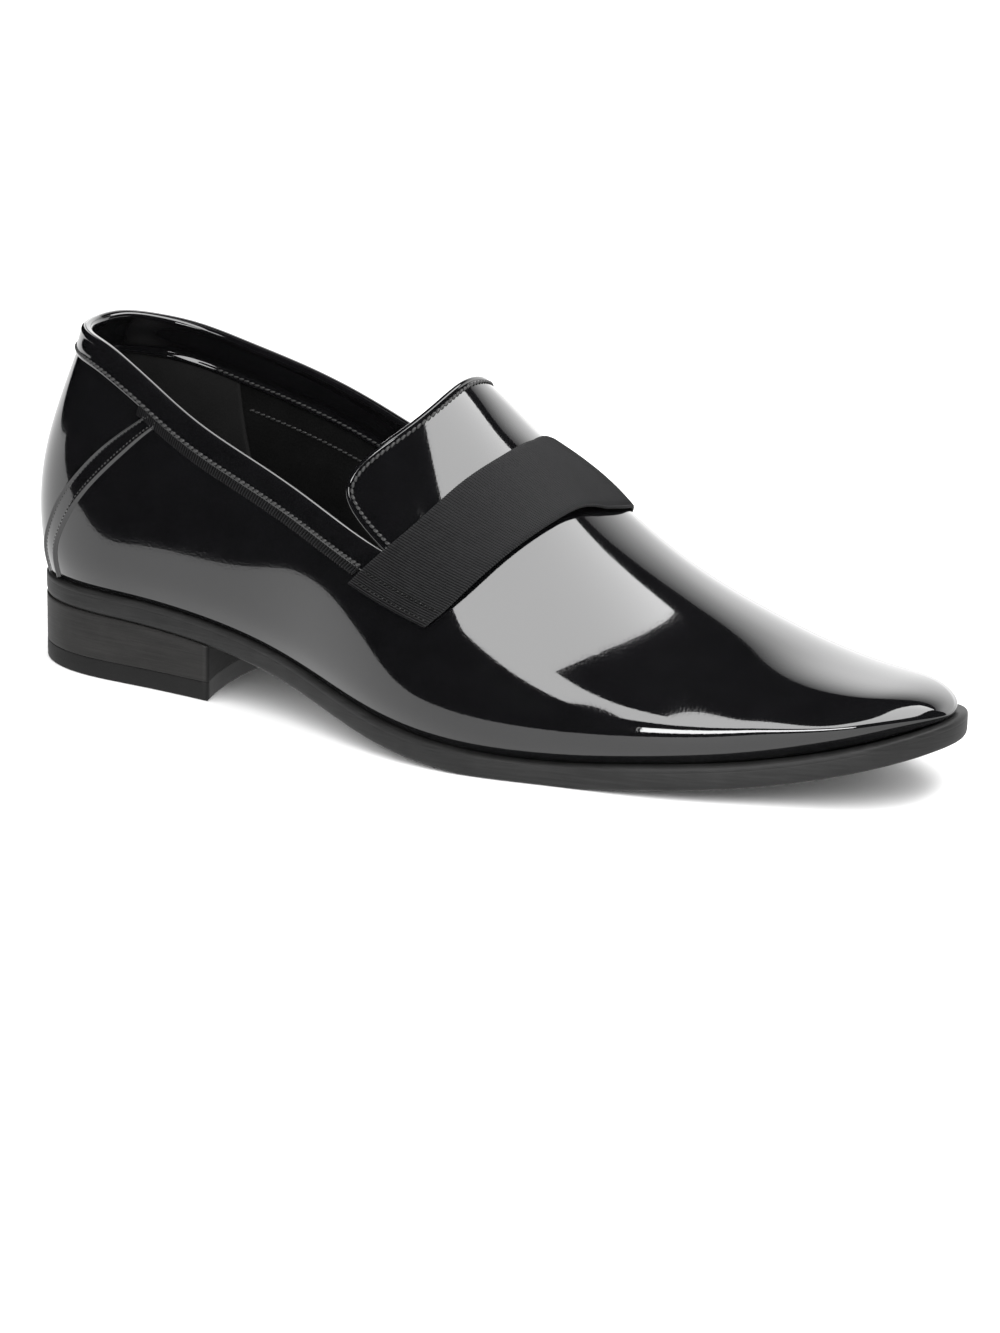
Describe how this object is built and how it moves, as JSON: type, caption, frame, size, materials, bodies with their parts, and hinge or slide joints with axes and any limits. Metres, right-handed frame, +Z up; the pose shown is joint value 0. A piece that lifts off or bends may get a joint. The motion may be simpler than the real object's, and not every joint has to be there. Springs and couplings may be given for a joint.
{
  "type": "loafer",
  "caption": "Men's slip-on dress loafer for the right foot in glossy patent leather, with a stacked heel, a long tongue and a ribbed strap across the instep.",
  "frame": {"origin": "middle of the shoe's box in plan, on the floor it stands on", "axes": "+X from the heel to the toe, +Y to the inner side of the foot, +Z up"},
  "size_m": [0.3094, 0.1018, 0.1078],
  "materials": {
    "sole_leather": "satin, dyed dark edge",
    "heel_leather": "satin, stacked layers",
    "heel_rubber": "matte",
    "patent_leather": "mirror gloss",
    "lining_leather": "satin",
    "grosgrain": "ribbed, soft sheen"
  },
  "bodies": {
    "root": {"outsole": "sole_leather", "heel_stack": "heel_leather", "heel_lift": "heel_rubber", "upper": "patent_leather", "insole": "lining_leather", "collar_band": "patent_leather", "counter_outer": "patent_leather", "counter_inner": "patent_leather", "strap": "grosgrain"}
  },
  "joints": []
}
